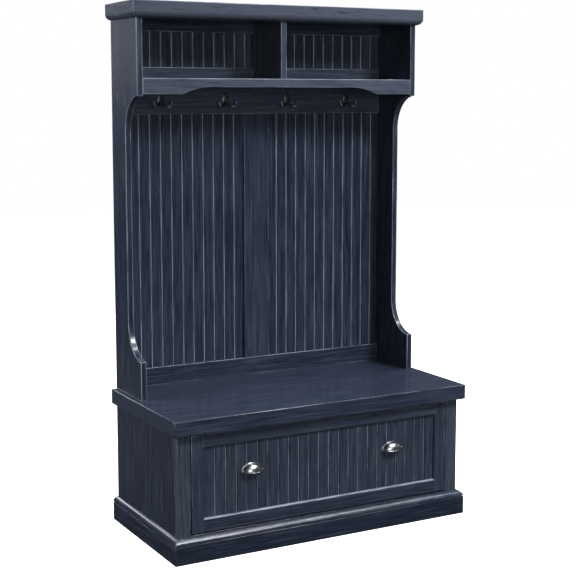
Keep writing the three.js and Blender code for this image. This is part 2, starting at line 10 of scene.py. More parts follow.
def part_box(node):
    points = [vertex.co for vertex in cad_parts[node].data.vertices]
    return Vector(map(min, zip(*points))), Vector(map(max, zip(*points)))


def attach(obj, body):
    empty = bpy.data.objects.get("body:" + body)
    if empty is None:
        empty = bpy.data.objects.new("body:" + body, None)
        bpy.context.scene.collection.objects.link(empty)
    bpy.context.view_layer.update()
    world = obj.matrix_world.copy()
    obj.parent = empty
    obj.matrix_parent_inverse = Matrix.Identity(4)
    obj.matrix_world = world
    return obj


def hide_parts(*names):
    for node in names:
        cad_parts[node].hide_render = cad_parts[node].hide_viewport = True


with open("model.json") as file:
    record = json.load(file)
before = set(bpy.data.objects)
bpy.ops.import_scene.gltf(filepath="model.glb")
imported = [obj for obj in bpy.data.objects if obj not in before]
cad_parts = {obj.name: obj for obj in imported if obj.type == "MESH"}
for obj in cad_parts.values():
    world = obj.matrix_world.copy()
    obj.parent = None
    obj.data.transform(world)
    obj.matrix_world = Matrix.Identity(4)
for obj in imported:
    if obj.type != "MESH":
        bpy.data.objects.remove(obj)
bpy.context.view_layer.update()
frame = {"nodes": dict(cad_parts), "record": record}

MM = 0.001
SLACK = 0.01 * MM  # two places closer than this are the same
SHARP = math.radians(35)  # a corner past this angle is eased
CREASE = math.radians(40)  # and past this one it is shaded as an edge
SIDES = {"left": -1, "right": 1}
BODIES = frame["record"]["behaviour"]["bodies"]
BODY_OF = {node: body for body, nodes in BODIES.items() for node in nodes}


# ---------------------------------------------------------------- node trees

COLOUR_A = 6  # the Mix node's colour sockets, by number
COLOUR_B = 7
COLOUR_RESULT = 2


def rgb(r, g, b):
    return (r, g, b, 1.0)


class Graph:
    """A node tree, built one linked node at a time."""

    def __init__(self, tree):
        self.tree = tree

    def add(self, kind, inputs=(), output=0, **settings):
        """Adds a node, sets or links its inputs by name or number, and gives one output."""
        node = self.tree.nodes.new(kind)
        for key, value in settings.items():
            setattr(node, key, value)
        for key, value in dict(inputs).items():
            self.feed(node.inputs[key], value)
        return node.outputs[output]

    def feed(self, socket, value):
        if isinstance(value, bpy.types.NodeSocket):
            self.tree.links.new(value, socket)
        else:
            socket.default_value = value

    def math(self, operation, a, b=0.0, c=0.0):
        return self.add("ShaderNodeMath", {0: a, 1: b, 2: c}, operation=operation)

    def mix(self, share, a, b):
        inputs = {"Factor": share, COLOUR_A: a, COLOUR_B: b}
        return self.add("ShaderNodeMix", inputs, output=COLOUR_RESULT, data_type="RGBA")


class Paint(Graph):
    """A material's nodes, ending in its one shader."""

    def __init__(self, name):
        self.material = bpy.data.materials.new(name)
        self.material.use_nodes = True
        super().__init__(self.material.node_tree)
        self.shader = self.tree.nodes["Principled BSDF"]

    def ramp(self, value, low, high, to_low=0.0, to_high=1.0):
        """value from low..high becomes to_low..to_high, smoothly and clamped."""
        inputs = {"Value": value, 1: low, 2: high, 3: to_low, 4: to_high}
        return self.add("ShaderNodeMapRange", inputs, interpolation_type="SMOOTHSTEP")

    def noise(self, place, scale, detail=4.0, roughness=0.55, distortion=0.0):
        inputs = {
            "Vector": place,
            "Scale": scale,
            "Detail": detail,
            "Roughness": roughness,
            "Distortion": distortion,
        }
        return self.add("ShaderNodeTexNoise", inputs)

    def attribute(self, name):
        return self.add("ShaderNodeAttribute", output="Fac", attribute_name=name)

    def object_place(self):
        return self.add("ShaderNodeTexCoord", output="Object")

    def board_place(self, along, stretch):
        """Object coordinates moved by the piece's own number and drawn out along the grain."""
        inputs = {0: self.object_place(), 1: self.spread(self.attribute("board"))}
        moved = self.add("ShaderNodeVectorMath", inputs, operation="ADD")
        scale = [1.0, 1.0, 1.0]
        scale["XYZ".index(along)] = 1.0 / stretch
        return self.add("ShaderNodeMapping", {"Vector": moved, "Scale": scale})

    def spread(self, number):
        """The same number in all three directions."""
        return self.add("ShaderNodeCombineXYZ", {0: number, 1: number, 2: number})

    def bump(self, height, strength, distance):
        inputs = {"Height": height, "Strength": strength, "Distance": distance}
        return self.add("ShaderNodeBump", inputs)

    def finish(self, **sockets):
        for key, value in sockets.items():
            self.feed(self.shader.inputs[key.replace("_", " ")], value)
        return self.material


# ---------------------------------------------------------------- camera, light and floor

def set_camera():
    """The object seen from its front left, a little above the shelf."""
    lens = bpy.data.cameras.new("camera")
    lens.sensor_width = 36
    lens.lens = 81.06
    lens.shift_y = -0.05
    lens.clip_end = 60
    camera = bpy.data.objects.new("camera", lens)
    camera.location = (-2.0962, -3.8006, 1.4477)
    camera.rotation_euler = (math.radians(90 - 7.256), 0, math.radians(-28.799))
    bpy.context.scene.collection.objects.link(camera)
    bpy.context.scene.camera = camera


def area_light(name, place, aim, size, watts):
    """A soft rectangular lamp that faces the place it aims at."""
    light = bpy.data.lights.new(name, "AREA")
    light.shape = "RECTANGLE"
    light.size, light.size_y = size
    light.energy = watts
    lamp = bpy.data.objects.new(name, light)
    lamp.location = place
    lamp.rotation_euler = (Vector(aim) - Vector(place)).to_track_quat("-Z", "Y").to_euler()
    bpy.context.scene.collection.objects.link(lamp)


def seen_or_lit(graph, seen, lit, tint=(1, 1, 1)):
    """A colour that is one value to the camera and another, tinted, to everything it lights."""
    to_camera = graph.add("ShaderNodeLightPath", output="Is Camera Ray")
    lighting = [lit * share for share in tint]
    return graph.mix(to_camera, rgb(*lighting), rgb(seen, seen, seen))


def set_studio():
    """A white room with six soft lights; the strip light draws the gleam along the mouldings."""
    scene = bpy.context.scene
    scene.view_settings.view_transform = "Standard"
    world = bpy.data.worlds.new("studio")
    world.use_nodes = True
    sky = Graph(world.node_tree)
    colour = seen_or_lit(sky, 1.0, 0.09, (0.75, 0.88, 1.0))
    sky.feed(sky.tree.nodes["Background"].inputs["Color"], colour)
    scene.world = world
    middle = (0, 0, 0.8)
    area_light("high_front_light", (1.4, -3.0, 3.9), middle, (1.0, 1.0), 180)
    area_light("left_light", (-4.0, 1.1, 2.4), middle, (1.8, 1.8), 170)
    area_light("low_front_light", (-1.0, -5.2, 1.5), middle, (2.2, 2.2), 84)
    area_light("right_light", (4.2, 0.6, 2.4), middle, (2.0, 2.0), 80)
    area_light("back_light", (-0.3, 4.6, 2.6), middle, (2.4, 2.4), 100)
    area_light("strip_light", (2.0, -0.93, 4.4), (2.0, -0.93, 0), (3.0, 0.5), 150)


FLOOR_HALF_WIDTH = 14


def lay_floor():
    """A wide floor, white to the camera and dark to whatever reflects it."""
    bm = bmesh.new()
    bmesh.ops.create_grid(bm, x_segments=1, y_segments=1, size=FLOOR_HALF_WIDTH)
    mesh = bpy.data.meshes.new("floor")
    bm.to_mesh(mesh)
    bm.free()
    floor = bpy.data.objects.new("floor", mesh)
    bpy.context.scene.collection.objects.link(floor)
    m = Paint("pale_floor")
    material = m.finish(
        Base_Color=seen_or_lit(m, 0.95, 0.04),
        Roughness=0.9,
        Specular_IOR_Level=0.1,
        Emission_Color=seen_or_lit(m, 0.9, 0.0),
        Emission_Strength=1.0,
    )
    mesh.materials.append(material)


# ---------------------------------------------------------------- materials

def navy_paint(along):
    """Satin navy paint brushed over open grain, worn through to a pale undercoat at the edges,
    with painted highlights in that colour on curves and bead crests, and painted shade in the
    recesses."""
    m = Paint("navy_paint_grain_" + along.lower())
    place = m.board_place(along, 22)
    broad = m.noise(m.board_place(along, 3.5), 7, 3, 0.5, 0.6)
    streaks = m.noise(place, 120, 5, 0.58)
    fine = m.noise(m.board_place(along, 34), 300, 3, 0.6)
    pores = m.noise(place, 420, 3, 0.5)

    tone = m.math("MULTIPLY_ADD", broad, 0.12, m.math("MULTIPLY", streaks, 0.4))
    # the tone layer adds each board's own tone and its painted light and shade
    tone = m.math("ADD", m.math("MULTIPLY_ADD", fine, 0.45, tone), m.attribute("tone"))
    deep = rgb(0.0092, 0.0138, 0.0280)
    navy = rgb(0.0290, 0.0380, 0.0640)
    body = m.mix(m.ramp(tone, 0.36, 0.60), deep, navy)
    # dry-brushed streaks, more of them where a board carries more tone and painted light
    dry = m.math("MULTIPLY_ADD", m.attribute("tone"), 0.7, streaks)
    body = m.mix(m.ramp(dry, 0.52, 0.86, 0.0, 0.55), body, rgb(0.082, 0.094, 0.122))
    body = m.mix(m.ramp(pores, 0.58, 0.70, 0.0, 0.65), body, rgb(0.005, 0.008, 0.016))

    # the layer holds edge wear, painted highlights on curves and bead crests, and below zero
    # painted shade
    state = m.attribute("wear_and_painted_light")
    patches = m.noise(m.board_place(along, 4), 38, 5, 0.6)
    edge = m.math("MULTIPLY", state, m.ramp(patches, 0.30, 0.60, 0.65, 1.15))
    rubbed_and_painted_light = m.ramp(edge, 0.28, 0.85)
    # the pale undercoat of worn edges, also used as a painted highlight on curves and bead crests
    grey_blue = rgb(0.095, 0.120, 0.160)
    pale_blue = rgb(0.225, 0.262, 0.325)
    body = m.mix(rubbed_and_painted_light, body, m.mix(m.ramp(fine, 0.4, 0.6), grey_blue, pale_blue))
    # painted shade: near black where the layer is below zero, on the quirks' floors and the sill
    # rail
    painted_shade = m.ramp(state, 0.0, -1.0, 0.0, 0.75)
    body = m.mix(painted_shade, body, rgb(0.003, 0.004, 0.008))

    roughness = m.math("MULTIPLY_ADD", streaks, 0.20, m.math("MULTIPLY_ADD", rubbed_and_painted_light, 0.10, 0.13))
    height = m.math("SUBTRACT", streaks, m.math("MULTIPLY", m.ramp(pores, 0.58, 0.72), 0.5))
    return m.finish(
        Base_Color=body,
        Roughness=roughness,
        Specular_IOR_Level=0.42,
        Normal=m.bump(height, 0.12, 0.0006),
    )


def birch_ply(along):
    """Clear-coated birch, its eased edges darkened by handling."""
    m = Paint("birch_ply_grain_" + along.lower())
    grain = m.noise(m.board_place(along, 14), 70, 6, 0.6, 0.4)
    fibre = m.noise(m.board_place(along, 40), 520, 3, 0.6)
    cloud = m.noise(m.board_place(along, 3), 9, 3, 0.5, 0.8)
    flecks = m.noise(m.board_place(along, 9), 600, 2, 0.5)
    tone = m.math("MULTIPLY_ADD", cloud, 0.4, m.math("MULTIPLY", grain, 0.5))
    tone = m.math("MULTIPLY_ADD", fibre, 0.35, tone)
    wood = m.mix(m.ramp(tone, 0.46, 0.8), rgb(0.40, 0.26, 0.135), rgb(0.63, 0.47, 0.29))
    wood = m.mix(m.ramp(flecks, 0.62, 0.70, 0.0, 0.45), wood, rgb(0.24, 0.14, 0.065))
    wood = m.mix(m.math("MULTIPLY", m.attribute("wear_and_painted_light"), 0.5), wood, rgb(0.27, 0.165, 0.085))
    return m.finish(
        Base_Color=wood,
        Roughness=m.math("MULTIPLY_ADD", grain, 0.2, 0.40),
        Specular_IOR_Level=0.4,
        Normal=m.bump(m.math("ADD", grain, fibre), 0.15, 0.0004),
    )


def zinc_steel():
    """Bright zinc plate: crystals of slightly different greys, with fine scuffs."""
    m = Paint("zinc_steel")
    inputs = {"Vector": m.object_place(), "Scale": 170.0}
    crystal = m.add("ShaderNodeTexVoronoi", inputs, output="Color")
    shade = m.add("ShaderNodeSeparateColor", {0: crystal})
    scuffs = m.noise(m.board_place("Y", 18), 300, 4, 0.6)
    shade = m.math("MULTIPLY_ADD", shade, 0.35, m.math("MULTIPLY", scuffs, 0.65))
    steel = m.mix(m.ramp(shade, 0.2, 0.8), rgb(0.44, 0.45, 0.47), rgb(0.68, 0.69, 0.70))
    steel = m.mix(m.attribute("wear_and_painted_light"), steel, rgb(0.78, 0.78, 0.79))
    return m.finish(
        Base_Color=steel,
        Metallic=1.0,
        Roughness=m.ramp(scuffs, 0.3, 0.7, 0.26, 0.46),
        Normal=m.bump(scuffs, 0.06, 0.0003),
    )


def brushed_nickel():
    """Satin nickel, brushed across the cup, darker where polish doesn't reach."""
    m = Paint("brushed_nickel")
    brushing = m.noise(m.board_place("X", 16), 900, 3, 0.5)
    tarnish = m.noise(m.board_place("X", 1), 70, 4, 0.6)
    metal = m.mix(m.ramp(tarnish, 0.35, 0.7), rgb(0.22, 0.225, 0.235), rgb(0.50, 0.51, 0.53))
    return m.finish(
        Base_Color=metal,
        Metallic=1.0,
        Roughness=m.math("MULTIPLY_ADD", brushing, 0.16, 0.22),
        Normal=m.bump(brushing, 0.05, 0.0002),
    )


def dark_bronze():
    """Oil-rubbed bronze: near black, with grey metal showing through where it is handled."""
    m = Paint("dark_bronze")
    mottle = m.noise(m.board_place("X", 1), 160, 5, 0.65)
    metal = m.mix(m.ramp(mottle, 0.45, 0.75), rgb(0.075, 0.075, 0.078), rgb(0.20, 0.20, 0.205))
    handled = m.math("MULTIPLY", m.attribute("wear_and_painted_light"), m.ramp(mottle, 0.3, 0.6, 0.5, 1.0))
    metal = m.mix(handled, metal, rgb(0.38, 0.38, 0.39))
    return m.finish(
        Base_Color=metal,
        Metallic=0.95,
        Roughness=m.ramp(mottle, 0.3, 0.7, 0.30, 0.46),
        Normal=m.bump(mottle, 0.10, 0.0003),
    )


# ---------------------------------------------------------------- piece building

USUAL_EASE = 1.3 * MM  # radius of an edge
USUAL_BAND = 2.6 * MM  # width beside it over which the rubbing fades
USUAL_RUB = 0.64
FLAT_LEAN = 8  # degrees off every axis at which a surface still counts as flat
ROUND_LEAN = 22  # and at which it is well round a moulding
BOARD_NUMBERS = 997  # a piece's number is one of these many, from 0 to about 10 m
BOARD_NUMBERS_PER_METRE = 97.0


def board_number(name):
    """A number of the piece's own, so that no two boards share a stretch of grain."""
    return (zlib.crc32(name.encode()) % BOARD_NUMBERS) / BOARD_NUMBERS_PER_METRE


def merged_copy(node):
    """A CAD node's shape as one joined mesh with its flat faces whole."""
    bm = bmesh.new()
    bm.from_mesh(frame["nodes"][node].data)
    bmesh.ops.remove_doubles(bm, verts=bm.verts, dist=SLACK)
    same_plane = math.radians(0.4)
    bmesh.ops.dissolve_limit(bm, angle_limit=same_plane, verts=bm.verts, edges=bm.edges)
    return bm


def smooth_regions(faces):
    """Groups of faces that run on into one another without a sharp edge."""
    left = dict.fromkeys(faces)  # not a set, whose order changes from run to run
    while left:
        region = [left.popitem()[0]]
        for face in region:
            for edge in face.edges:
                if len(edge.link_faces) == 2 and edge.calc_face_angle() < SHARP:
                    for found in [f for f in edge.link_faces if f in left]:
                        del left[found]
                        region.append(found)
        yield region


def on_butted_end(edge, axis, ends):
    """Whether an edge lies in the plane where the board meets its neighbour."""
    return any(all(abs(v.co[axis] - end) < SLACK for v in edge.verts) for end in ends)


def off_axis(normal):
    """How far a surface leans from every axis: 0 on a flat face, 1 well round a moulding."""
    lean = math.degrees(math.acos(min(1.0, max(abs(c) for c in normal))))
    return min(1.0, max(0.0, (lean - FLAT_LEAN) / (ROUND_LEAN - FLAT_LEAN)))


def ease(bm, radius, band, rub_and_painted_light, butted, round_highlight=0.0):
    """Rounds the outward edges and records the rubbing: the edges' own, which below zero is
    painted shade, none a band further in, and a painted highlight on a moulding's own curve."""
    wear_and_painted_light = bm.verts.layers.float.new("wear_and_painted_light")
    outward = [e for e in bm.edges if e.is_manifold and e.is_convex]
    corners = [e for e in outward if e.calc_face_angle() > SHARP]
    for letter in butted:
        axis = "XYZ".index(letter)
        places = [v.co[axis] for v in bm.verts]
        ends = (min(places), max(places))
        corners = [e for e in corners if not on_butted_end(e, axis, ends)]
    rounded = bmesh.ops.bevel(
        bm,
        geom=corners,
        offset=radius,
        segments=2,
        profile=0.5,
        affect="EDGES",
        clamp_overlap=True,
    )
    for vert in rounded["verts"]:
        vert[wear_and_painted_light] = rub_and_painted_light
    arrises = set(rounded["faces"])
    for region in list(smooth_regions(f for f in bm.faces if f not in arrises)):
        inside = set(region)
        rim = [e for f in region for e in f.edges if any(o not in inside for o in e.link_faces)]
        if not rim:
            continue
        area = sum(f.calc_area() for f in region)
        widest = 0.6 * area / sum(e.calc_length() for e in rim)  # so a narrow face keeps a middle
        reach = min(band, widest)
        bmesh.ops.inset_region(bm, faces=region, thickness=reach, use_even_offset=True)
        for face in region:
            for vert in face.verts:
                # a painted highlight on the moulding's curve, in the pale colour of worn paint
                vert[wear_and_painted_light] = round_highlight * off_axis(vert.normal)


def make_piece(bm, name, body, material, replaced=(), tone=0.0):
    """Turns the shape into a finished piece that rides on a body."""
    if "wear_and_painted_light" not in bm.verts.layers.float:
        bm.verts.layers.float.new("wear_and_painted_light")
    # the tone layer carries each board's own tone and its painted light and shade
    for label, value in (("board", board_number(name)), ("tone", tone)):
        layer = bm.verts.layers.float.new(label)
        for vert in bm.verts:
            vert[layer] = value
    mesh = bpy.data.meshes.new(name)
    bm.to_mesh(mesh)
    bm.free()
    mesh.shade_smooth()
    mesh.set_sharp_from_angle(angle=CREASE)
    mesh.materials.append(material)
    piece = bpy.data.objects.new(name, mesh)
    bpy.context.scene.collection.objects.link(piece)
    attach(piece, body)
    if replaced:
        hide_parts(*replaced)


def board_from(
    node,
    material,
    radius=USUAL_EASE,
    band=USUAL_BAND,
    rub_and_painted_light=USUAL_RUB,
    tone=0.0,
    butted="",
    round_highlight=0.0,
):
    """A board with the CAD node's shape, its edges eased and worn but not where it butts, with
    painted shade on them where the rubbing is below zero and a painted highlight on its curves.
    """
    bm = merged_copy(node)
    ease(bm, radius, band, rub_and_painted_light, butted, round_highlight)
    make_piece(bm, node + "_board", BODY_OF[node], material, [node], tone)


# ---------------------------------------------------------------- painted boards

GRAIN_OF_PAINTED_BOARDS = {
    "X": """bench_top base_sill_rail base_bottom base_back base_stretcher plinth_front
        base_moulding_front drawer_rail_top drawer_rail_bottom hutch_top crown_panel
        crown_moulding_front shelf_apron cubby_shelf back_bottom_rail hook_rail
        cubby_top_rail""",
    "Y": """plinth_left plinth_right base_moulding_left base_moulding_right
        crown_moulding_left crown_moulding_right""",
    "Z": """base_side_left base_side_right base_stile_left base_stile_right
        drawer_stile_left drawer_stile_right hutch_side_left hutch_side_right
        cubby_divider back_centre_stile""",
}

BUTTED_ENDS = {  # the way a board runs into its neighbours, which keeps those ends crisp
    "drawer_rail_top": "X",
    "drawer_rail_bottom": "X",
    "base_sill_rail": "X",
    "back_bottom_rail": "X",
    "hook_rail": "X",
    "cubby_top_rail": "X",
    "back_centre_stile": "Z",
    "cubby_divider": "Z",
    "cubby_shelf": "X",
    "hutch_top": "X",
}

BENCH_TOP_EASE = 2.4 * MM

# How far each board's edges are rubbed through, where it isn't the usual. A value below zero
# darkens them with painted shade instead, as on the sill rail in the shadow under the drawer.
RUBBING_AND_SHADE = {
    "base_stile": 0.45,
    "base_side": 0.45,
    # painted shade on the sill rail, in the gap under the drawer
    "base_sill_rail": -0.7,
    "base_stretcher": 0.2,
    "drawer_stile": 0.62,
    "bench_top": 0.40,
    "plinth": 0.40,
    "plinth_front": 0.40,
    "hutch_side": 0.74,
    "shelf_apron": 0.74,
}

PAINTED_HIGHLIGHT_ON_ROUNDS = {  # how strong a painted highlight a curved moulding's own surface gets, as pale worn paint
    "base_moulding_front": 0.42,
    "base_moulding_left": 0.30,
    "base_moulding_right": 0.30,
    "drawer_rail_bottom": 0.62,
}

TONE_AND_PAINTED_LIGHT = {  # each board's lightness against the rest: partly its own tone, partly painted light and shade, lighter on the crown and apron
    "crown_moulding_front": 0.58,
    "crown_moulding": 0.12,
    "shelf_apron": 0.40,
    "cubby_divider": 0.28,
    "bench_top": 0.03,
    "base_stile": 0.32,
    "base_side": -0.01,
    # painted light, lifting the hook rail out of the shade under the shelf
    "hook_rail": 0.20,
    "drawer_panel": 0.10,
    "back_centre_stile": 0.05,
    "drawer_stile": 0.10,
    "drawer_rail_top": 0.14,
    "drawer_rail_bottom": 0.04,
    "plinth_front": -0.03,
    "plinth": -0.03,
}


def build_painted_boards(paint):
    """Every painted board; a left and right pair shares its rubbing and its tone, with the
    painted shade and painted light that these carry.
    """
    for along, names in GRAIN_OF_PAINTED_BOARDS.items():
        for node in names.split():
            radius = BENCH_TOP_EASE if node == "bench_top" else USUAL_EASE
            kind = node.removesuffix("_left").removesuffix("_right")
            board_from(
                node,
                paint[along],
                radius,
                rub_and_painted_light=RUBBING_AND_SHADE.get(kind, USUAL_RUB),
                tone=TONE_AND_PAINTED_LIGHT.get(kind, 0.0),
                butted=BUTTED_ENDS.get(node, ""),
                round_highlight=PAINTED_HIGHLIGHT_ON_ROUNDS.get(node, 0.0),
            )


# ---------------------------------------------------------------- plywood and slide members

GRAIN_OF_PLY_BOARDS = {
    "X": "drawer_box_front drawer_back drawer_bottom",
    "Y": "drawer_side_left drawer_side_right slide_cleat_left slide_cleat_right",
}
PLY_EASE = 0.8 * MM
PLY_BAND = 1.5 * MM
STEEL_EASE = 0.3 * MM
STEEL_BAND = 0.8 * MM


def build_ply_boards(ply):
    """The drawer's box, and the cleats that carry its slides."""
    for along, names in GRAIN_OF_PLY_BOARDS.items():
        for node in names.split():
            board_from(node, ply[along], PLY_EASE, PLY_BAND)


def build_slide_members(steel):
    """The three bent channels of each slide."""
    for member in ("outer", "middle", "inner"):
        for side_name in SIDES:
            node = "slide_%s_%s" % (member, side_name)
            board_from(node, steel, STEEL_EASE, STEEL_BAND)


# ---------------------------------------------------------------- rules that repeat a shape

RANDOM_LARGEST = 3  # the Random Value node's sockets for a plain number
RANDOM_RESULT = 1


class Rule(Graph):
    """A Geometry Nodes tree with named inputs, run on a starting shape."""

    def __init__(self, name, **sockets):
        tree = bpy.data.node_groups.new(name, "GeometryNodeTree")
        sides = tree.interface
        sides.new_socket("Geometry", in_out="INPUT", socket_type="NodeSocketGeometry")
        for label, kind in {**sockets, "Material": "Material"}.items():
            label = label.replace("_", " ")
            sides.new_socket(label, in_out="INPUT", socket_type="NodeSocket" + kind)
        sides.new_socket("Geometry", in_out="OUTPUT", socket_type="NodeSocketGeometry")
        super().__init__(tree)
        self.inputs = tree.nodes.new("NodeGroupInput").outputs

    def named(self, name, kind):
        """The values that the starting shape's points carry under a name."""
        return self.add("GeometryNodeInputNamedAttribute", {"Name": name}, data_type=kind)

    def end(self, geometry):
        """Makes the rule's shapes real, gives them the material, and closes the tree."""
        made = self.add("GeometryNodeRealizeInstances", {"Geometry": geometry})
        inputs = {"Geometry": made, "Material": self.inputs["Material"]}
        painted = self.add("GeometryNodeSetMaterial", inputs)
        self.tree.links.new(painted, self.tree.nodes.new("NodeGroupOutput").inputs[0])

    def grow(self, start, **values):
        """Runs the rule on a starting mesh and gives back the plain mesh it makes."""
        mesh = bpy.data.meshes.new("start")
        start.to_mesh(mesh)
        start.free()
        holder = bpy.data.objects.new("start", mesh)
        bpy.context.scene.collection.objects.link(holder)
        modifier = holder.modifiers.new("rule", "NODES")
        modifier.node_group = self.tree
        for socket in self.tree.interface.items_tree:
            label = socket.name.replace(" ", "_")
            if socket.in_out == "INPUT" and label in values:
                modifier[socket.identifier] = values[label]
        graph = bpy.context.evaluated_depsgraph_get()
        made = bpy.data.meshes.new_from_object(holder.evaluated_get(graph), depsgraph=graph)
        holder.modifiers.remove(modifier)
        bm = bmesh.new()
        bm.from_mesh(made)
        bpy.data.objects.remove(holder)
        bpy.data.meshes.remove(mesh)
        bpy.data.meshes.remove(made)
        bmesh.ops.recalc_face_normals(bm, faces=bm.faces)
        return bm


def rows_rule():
    """Repeats a shape along a row from each starting point, turned to face outward."""
    rule = Rule(
        "rows_of_hardware",
        Shape="Object",
        Count="Int",
        Spacing="Vector",
        Spin="Float",
        Seed="Int",
    )
    g = rule.inputs
    line = rule.add("GeometryNodeMeshLine", {"Count": g["Count"], "Offset": g["Spacing"]})
    rows = rule.add("GeometryNodeInstanceOnPoints", {"Points": g["Geometry"], "Instance": line})
    points = rule.add("GeometryNodeRealizeInstances", {"Geometry": rows})
    facing = rule.named("facing", "FLOAT_VECTOR")
    aligned = rule.add("FunctionNodeAlignRotationToVector", {"Vector": facing}, axis="Z")
    shape = rule.add("GeometryNodeObjectInfo", {"Object": g["Shape"]}, output="Geometry")
    inputs = {"Points": points, "Instance": shape, "Rotation": aligned}
    placed = rule.add("GeometryNodeInstanceOnPoints", inputs)
    inputs = {RANDOM_LARGEST: g["Spin"], "Seed": g["Seed"]}
    spin = rule.add("FunctionNodeRandomValue", inputs, output=RANDOM_RESULT)
    spin = rule.add("ShaderNodeCombineXYZ", {"Z": spin})
    inputs = {"Instances": placed, "Rotation": spin, "Local Space": True}
    rule.end(rule.add("GeometryNodeRotateInstances", inputs))
    return rule


def sweep_rule():
    """A round bar along each path, as thick as the path says at every point."""
    rule = Rule("bar_along_path", Sides="Int")
    g = rule.inputs
    path = rule.add("GeometryNodeMeshToCurve", {"Mesh": g["Geometry"]})
    inputs = {"Resolution": g["Sides"], "Radius": 1.0}
    circle = rule.add("GeometryNodeCurvePrimitiveCircle", inputs)
    radius = rule.named("radius", "FLOAT")
    inputs = {"Curve": path, "Profile Curve": circle, "Scale": radius, "Fill Caps": True}
    rule.end(rule.add("GeometryNodeCurveToMesh", inputs))
    return rule


def beadboard_rule():
    """Repeats one bead's outline across a panel, raises it to full height and gives it a back."""
    rule = Rule(
        "beadboard",
        Bead_Count="Int",
        Pitch="Float",
        First_Bead="Float",
        Left_Edge="Float",
        Right_Edge="Float",
        Height="Float",
        Thickness="Float",
    )
    g = rule.inputs

    def vector(x=0.0, y=0.0, z=0.0):
        return rule.add("ShaderNodeCombineXYZ", {0: x, 1: y, 2: z})

    def moved(geometry, selection, position):
        inputs = {"Geometry": geometry, "Selection": selection, "Position": position}
        return rule.add("GeometryNodeSetPosition", inputs)

    def extruded(mesh, mode, direction, reach):
        inputs = {"Mesh": mesh, "Offset": direction, "Offset Scale": reach}
        if mode == "FACES":
            inputs["Individual"] = False
        return rule.add("GeometryNodeExtrudeMesh", inputs, mode=mode).node.outputs

    def merged(geometry):
        inputs = {"Geometry": geometry, "Distance": 2 * SLACK}
        return rule.add("GeometryNodeMergeByDistance", inputs)

    place = rule.add("GeometryNodeInputPosition")
    x, y, z = (rule.add("ShaderNodeSeparateXYZ", {0: place}, output=i) for i in range(3))
    start = vector(g["First Bead"])
    step = vector(g["Pitch"])
    inputs = {"Count": g["Bead Count"], "Start Location": start, "Offset": step}
    line = rule.add("GeometryNodeMeshLine", inputs)
    beads = rule.add("GeometryNodeInstanceOnPoints", {"Points": line, "Instance": g["Geometry"]})
    outline = merged(rule.add("GeometryNodeRealizeInstances", {"Geometry": beads}))

    margin = 0.05 * MM
    half = rule.math("MULTIPLY", g["Pitch"], 0.5)
    left_end = rule.math("ADD", rule.math("SUBTRACT", g["First Bead"], half), margin)
    last = rule.math("MULTIPLY_ADD", g["Bead Count"], g["Pitch"], left_end)
    right_end = rule.math("SUBTRACT", last, 2 * margin)
    at_left = rule.math("LESS_THAN", x, left_end)
    outline = moved(outline, at_left, vector(g["Left Edge"], y, z))
    at_right = rule.math("GREATER_THAN", x, right_end)
    outline = moved(outline, at_right, vector(g["Right Edge"], y, z))

    face = extruded(outline, "EDGES", vector(0, 0, 1), g["Height"])["Mesh"]
    solid = extruded(face, "FACES", vector(0, 1, 0), g["Thickness"])
    solid = moved(solid["Mesh"], solid["Top"], vector(x, g["Thickness"], z))
    front = rule.add("GeometryNodeFlipFaces", {"Mesh": face})
    join = rule.tree.nodes.new("GeometryNodeJoinGeometry")
    rule.tree.links.new(solid, join.inputs[0])
    rule.tree.links.new(front, join.inputs[0])
    rule.end(merged(join.outputs[0]))
    return rule


# ---------------------------------------------------------------- beadboard panels

BEAD_HALF = 2.3 * MM
BEAD_STEPS = 8
QUIRK_WIDTH = 1.7 * MM
QUIRK_DEPTH = 2.3 * MM
QUIRK_SLOPE = 0.4 * MM
QUIRK_LIP_RUB = 0.55
# painted shade on each quirk's floor
QUIRK_FLOOR_SHADE = -1
RUB_FADE = 2.5 * MM
# the bead's crest is made pale, partly wear and partly a painted highlight
BEAD_RUB_AND_HIGHLIGHT = 1.25
BEAD_RUB_AND_HIGHLIGHT_OF = {"drawer_panel": 0.75}
BELOW_BEADS = 3 * MM  # nothing is rubbed deeper than this behind the face
PANELS = ("back_panel_left", "back_panel_right", "cubby_back_panel", "drawer_panel")
GROOVE_FLOOR = (2 * MM, 4 * MM)  # how far behind the face the CAD's grooves can end
GROOVES_APART = 8 * MM


def groove_places(node):
    """Where the CAD panel's grooves run: X at the bottom of each."""
    low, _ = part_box(node)
    shallow, deep = GROOVE_FLOOR
    points = [v.co for v in frame["nodes"][node].data.vertices]
    bottoms = sorted(p.x for p in points if shallow < p.y - low.y < deep)
    grooves = [[bottoms[0]]]
    for x in bottoms:
        if x - grooves[-1][0] > GROOVES_APART:
            grooves.append([])
        grooves[-1].append(x)
    return [(groove[0] + groove[-1]) / 2 for groove in grooves]


def draw_line(bm, layer, points):
    """A line through places, each with its value on the layer."""
    before = None
    for place, value in points:
        vert = bm.verts.new(place)
        vert[layer] = value
        if before:
            bm.edges.new((before, vert))
        before = vert


